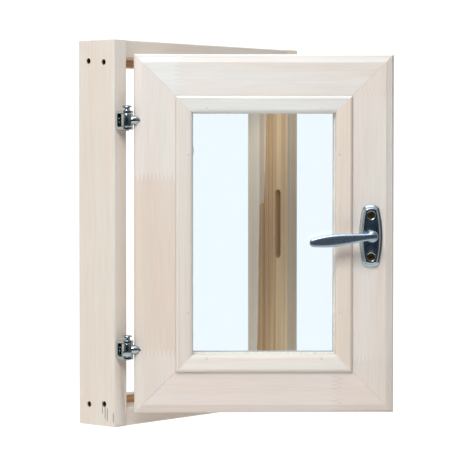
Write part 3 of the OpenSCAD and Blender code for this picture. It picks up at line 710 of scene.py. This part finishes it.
# Sizes of the handle, in mm: the plate's half widths and half length, its corners, and the lever's arm
PLATE_HALF_W = 12
PLATE_HALF_END = 9
PLATE_HALF_L = 32
PLATE_CORNER_R = 5.2
PLATE_CORNER_UP = 26.2
PLATE_T = 6
SCREWS_UP = 21.5
HUB_BORE_R = 4.95
ARM_OUT = 21.5
ARM_L = 64.5
ARM_THICK = 2.45
ARM_START = -0.6
ARM_STOP = 60.5
ARM_TURNED = math.radians(1.0)


def arc(x, y, radius, start, end, steps):
    """Points on an arc about (x, y), its angles in degrees."""
    angle = np.radians(np.linspace(start, end, steps + 1))
    return np.stack([x + radius * np.cos(angle), y + radius * np.sin(angle)], -1)


def filled(loops):
    """Flat faces inside the first loop of points and outside the others."""
    work = bmesh.new()
    edges = []
    for loop in loops:
        verts = [work.verts.new(point) for point in loop]
        edges += [work.edges.new(pair) for pair in zip(verts, verts[1:] + verts[:1])]
    bmesh.ops.triangle_fill(work, use_beauty=True, edges=edges)
    work.verts.index_update()
    points = np.array([v.co for v in work.verts])
    faces = np.array([[v.index for v in face.verts] for face in work.faces])
    work.free()
    return points, faces


def outwards(points, droop):
    """Rows along the lever, up across it and out from the member face, in mm, in the row frame."""
    cosine, sine = math.cos(droop), math.sin(droop)
    along, up, out = points.T * MM
    local = np.stack([pivot.x - along * cosine - up * sine, -out, pivot.z - along * sine + up * cosine], -1)
    return carried(local, from_sash)


def shifted(part, up):
    """A part moved up the plate."""
    points, faces = part
    return points + [0, up, 0], faces


def plate_ring(inset, out):
    """The plate's outline, set in, at a height: flat arcs for its sides and ends, and round corners.

    Each flat arc's radius is worked out from its rise and half its chord. Setting in takes the same
    amount off every radius.
    """
    corner_x = PLATE_HALF_END - PLATE_CORNER_R
    side_rise = PLATE_HALF_W - PLATE_HALF_END
    end_rise = PLATE_HALF_L - PLATE_CORNER_R - PLATE_CORNER_UP
    side_r = (side_rise ** 2 + PLATE_CORNER_UP ** 2) / (2 * side_rise)
    end_r = (end_rise ** 2 + corner_x ** 2) / (2 * end_rise)
    side_end = math.degrees(math.asin(PLATE_CORNER_UP / side_r))
    end_start = math.degrees(math.acos(corner_x / end_r))
    turn = PLATE_CORNER_R - inset
    quarter = np.concatenate([
        arc(PLATE_HALF_W - PLATE_CORNER_R - side_r, 0, side_r + turn, 0, side_end, 12)[:-1],
        arc(corner_x, PLATE_CORNER_UP, turn, side_end, end_start, 8)[:-1],
        arc(0, PLATE_HALF_L - PLATE_CORNER_R - end_r, end_r + turn, end_start, 90, 6),
    ])
    back = quarter[::-1]
    ring = np.concatenate([
        quarter, (back * [-1, 1])[1:], (quarter * [-1, -1])[1:], (back * [1, -1])[1:-1],
    ])
    return np.column_stack([ring, np.full(len(ring), out)])


def handle_plate():
    """Cast base plate: a stepped, rolled edge round a flat field with a hub bore and two sunk holes."""
    rim = [
        (0, 0), (0, 1.5), (0.35, 2.1), (1.3, 2.7), (2.4, 3.7), (3.0, 4.6),
        (3.2, 5.2), (3.6, 5.7), (4.1, 5.93), (4.7, PLATE_T),
    ]
    rings = [plate_ring(inset, out) for inset, out in rim]
    edge = np.concatenate(rings), joined_grid(len(rim), len(rings[0]))
    steps = 48
    hole = [(2.0, 0), (2.0, 3.4), (3.97, 3.4), (3.97, 5.3), (4.1, 5.7), (4.35, 5.92), (4.65, PLATE_T)]
    sunk = turned_part(np.array(hole), steps)
    bore = turned_part(np.array([(HUB_BORE_R, 0), (HUB_BORE_R, PLATE_T)]), steps)
    walls = [shifted(sunk, SCREWS_UP), shifted(sunk, -SCREWS_UP), bore]
    tops = [rings[-1]] + [wall[0][-steps:] for wall in walls]
    bottoms = [rings[0]] + [wall[0][:steps] for wall in walls]
    parts = [edge] + walls + [filled(tops), filled(bottoms)]
    mesh = surface_mesh("handle_plate_cast", [(outwards(p, 0), f) for p, f in parts], 40)
    new_piece("handle_plate_cast", mesh, "sash", chrome, ["handle_plate"])


def plate_screws():
    """Cross-recess screws: each head's height dips where a point lies in one of the cross's arms."""
    heads = [(r, 5.45 - 0.02 * r * r) for r in np.linspace(3.6, 0, 22)]
    shank = [(0, -14), (1.5, -12.5), (1.5, 3.2), (3.9, 3.45), (3.9, 5.05), (3.8, 5.15)]
    steps = 72
    points, faces = turned_part(np.array(shank + heads), steps)
    across = np.abs(points[:, :2] @ np.array([[0.94, -0.34], [0.34, 0.94]]))
    arm = np.clip((0.62 - across.min(1)) / 0.25, 0, 1) * np.clip((2.3 - across.max(1)) / 0.5, 0, 1)
    on_top = np.arange(len(points)) >= len(shank) * steps
    points[:, 2] -= 1.4 * arm * on_top
    parts = [(outwards(points + [0, up, 0], 0), faces) for up in (SCREWS_UP, -SCREWS_UP)]
    mesh = surface_mesh("plate_screws_turned", parts, 50)
    new_piece("plate_screws_turned", mesh, "sash", yellow_zinc, ["plate_screws"])


def arm_half(along):
    """Half width of the lever's arm: slim by the hub and widest two thirds of the way along."""
    share = np.clip(along / ARM_L, 0, 1)
    return 3.6 + 2.7 * np.sin(np.pi * share ** 1.45) ** 1.1


def handle_lever():
    """Lever: a leaf-shaped arm of superellipse section run over the top of a domed round hub."""
    bend = np.radians(np.linspace(90, 0, 9))
    run = np.linspace(ARM_START, ARM_STOP, 48)
    tip = np.radians(np.linspace(0, 90, 10))[1:]
    start = bend[:-1]
    along = np.concatenate([ARM_START - 3.5 * np.sin(start), run, ARM_STOP + 3.9 * np.sin(tip)])
    half = np.concatenate([3.5 * np.cos(start), arm_half(run), arm_half(ARM_STOP) * np.cos(tip)])
    thick = ARM_THICK * np.concatenate([np.cos(start) ** 0.4, 1 + 0 * run, np.cos(tip) ** 0.5])
    turn = np.linspace(0, 2 * np.pi, 64, endpoint=False)
    wide = np.sign(np.cos(turn)) * np.abs(np.cos(turn)) ** (2 / 3.6)
    high = np.sign(np.sin(turn)) * np.abs(np.sin(turn)) ** (2 / 3.6)
    arm = np.stack([
        along[:, None] + 0 * turn,
        half[:, None] * wide,
        ARM_OUT + thick[:, None] * high,
    ], -1).reshape(-1, 3)
    arm_part = outwards(arm, lever_droop - ARM_TURNED), joined_grid(len(along), 64)
    rows = [
        (0, 0.2), (4.9, 0.2), (4.9, 6.4), (5.6, 6.45), (6, 6.9), (6, 20.6),
        (5.85, 21.5), (5.4, 22.4), (4.6, 23.1), (3.2, 23.5), (0, 23.6),
    ]
    points, faces = turned_part(np.array(rows), 64)
    hub_part = outwards(points, lever_droop), faces
    mesh = surface_mesh("handle_lever_cast", [arm_part, hub_part], 35)
    new_piece("handle_lever_cast", mesh, "handle", worn_chrome, ["handle_lever"])


def hinge_pin(node, body):
    """Loose hinge pin: a turned shank under a waisted neck and a mushroom head."""
    low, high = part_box(node)
    rows = [
        (0, 0), (1.9, 0), (2.35, 0.25), (2.5, 0.7), (2.5, 20.8),
        (3.4, 20.8), (3.3, 21.3), (3.05, 22.2), (2.95, 23.2), (3.2, 23.8), (4.0, 24.25),
        (5.0, 24.5), (5.28, 24.8), (5.22, 25.1), (4.7, 25.65), (3.6, 26.1), (2.0, 26.33), (0, 26.4),
    ]
    points, faces = turned_part(np.array(rows) * MM, 56)
    points = points + [(low.x + high.x) / 2, (low.y + high.y) / 2, low.z]
    mesh = surface_mesh(node + "_turned", [(points, faces)], 40)
    new_piece(node + "_turned", mesh, body, zinc, [node])


def hinge_eye(node):
    """Hinge eye: a rolled barrel with a stout ogive collar that runs down to its screw.

    The barrel is a tube with rounded ends, and the collar's radius falls along a quarter of an
    ellipse from the barrel to the shank.
    """
    low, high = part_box(node)
    middle = Vector((hinge_axis.x, hinge_axis.y, (low.z + high.z) / 2))
    half = [(6.2, 6.0), (6.05, 6.35), (5.7, 6.5), (2.56, 6.5)]
    other = [(radius, -height) for radius, height in half[::-1]]
    points, faces = turned_part(np.array(other + half + other[:1]) * MM, 56)
    tube = points + list(middle), faces
    share = np.linspace(0, 1, 12)
    collar = np.stack([1.6 + 3.3 * np.sqrt(1 - share ** 2), 4.8 + 8.6 * share], -1)
    rows = np.concatenate([[(0, 4.5)], collar, [(1.6, 32), (0.4, 37), (0, 37)]]) * MM
    points, faces = turned_part(rows, 48)
    reach = np.stack([points[:, 2], points[:, 0], points[:, 1]], -1)
    turn = Matrix.Translation(middle) @ Matrix.Rotation(-open_angle, 4, "Z")
    shank = carried(reach, turn), faces
    mesh = surface_mesh(node + "_turned", [tube, shank], 40)
    new_piece(node + "_turned", mesh, "sash", zinc, [node])


def glazing_fillet():
    """Fillet of sealant round the glass at the bead: a quarter round, swollen where a lump was left.

    Its radius is a base size on each side plus a bell curve about each lump; the base is largest along
    the bottom and the right, where the pale fillet is a painted highlight over the shade behind the
    bead's edge. A lump is given by its side, its height, how much it adds and how far it spreads.
    """
    count = 120
    ways = [(0, 0, 1, 0), (1, 0, 0, 1), (1, 1, -1, 0), (0, 1, 0, -1)]
    wide, tall = sash_w - 2 * sight_in, sash_h - 2 * sight_in
    part = np.arange(count) / count
    base, lean = [], []
    for x, z, dx, dz in ways:
        base.append(np.stack([sight_in + (x + dx * part) * wide, sight_in + (z + dz * part) * tall], -1))
        sides = np.tile([-dz, dx], (count, 1)).astype(float)
        sides[0] = [1 - 2 * x, 1 - 2 * z]
        lean.append(sides)
    base, lean = np.concatenate(base), np.concatenate(lean)
    # Bottom, right, top and left: the wide bottom and right carry the painted highlight
    radius = np.repeat([2.1, 1.6, 0.8, 0.5], count) * MM
    lumps = [(1, 225, 1.3, 3), (1, 148, 1.0, 2.5), (1, 104, 1.1, 4), (0, 271, 0.9, 3)]
    for right, height, size, spread in lumps:
        at = np.array([sash_w - sight_in if right else sight_in, height * MM])
        far = np.linalg.norm(base - at, axis=1) / (spread * MM)
        radius += size * MM * np.exp(-far ** 2)
    angle = np.radians(np.linspace(0, 90, 7))
    inwards = np.concatenate([np.cos(angle), [-0.4, -0.4]])
    outward = np.concatenate([np.sin(angle), [1, 0]])
    step = radius[:, None] * inwards
    spots = base[:, None, :] + lean[:, None, :] * step[..., None]
    depth = glass_t - radius[:, None] * outward
    local = np.stack([spots[..., 0], depth, spots[..., 1]], -1).reshape(-1, 3)
    faces = joined_grid(len(base), len(inwards), round_rows=True)
    mesh = surface_mesh("glazing_fillet", [(carried(local, from_sash), faces)], 60)
    new_piece("glazing_fillet", mesh, "sash", fillet_sealant_and_highlight)


handle_plate()
plate_screws()
handle_lever()
hinge_pin("hinge_pin_upper", "pin_upper")
hinge_pin("hinge_pin_lower", "pin_lower")
glazing_fillet()
for level in ("upper", "lower"):
    eased_copy("hinge_fork_" + level, FORK_EASE, zinc, "frame", FORK_EASE)
    hinge_eye("hinge_eye_" + level)

# ---------------------------------------------------------------- CAD nodes that keep their shape

kept_nodes = {
    "frame_screws": hole_shaded_screw,
    "fork_screw_upper": zinc,
    "fork_screw_lower": zinc,
    "corner_dowels": dowel_wood,
    "bead_brads": washed_brad,
    "front_pane": glass,
    "back_pane": glass,
    "spacer_bar": spacer,
    "edge_seal": sealant,
    "bedding_tape": sealant,
    "setting_blocks": packer,
    "spindle": zinc,
    "latch_tongue": zinc,
    "spindle_washer": zinc,
}
for node, material in kept_nodes.items():
    mesh = frame["nodes"][node].data
    mesh.materials.clear()
    mesh.materials.append(material)
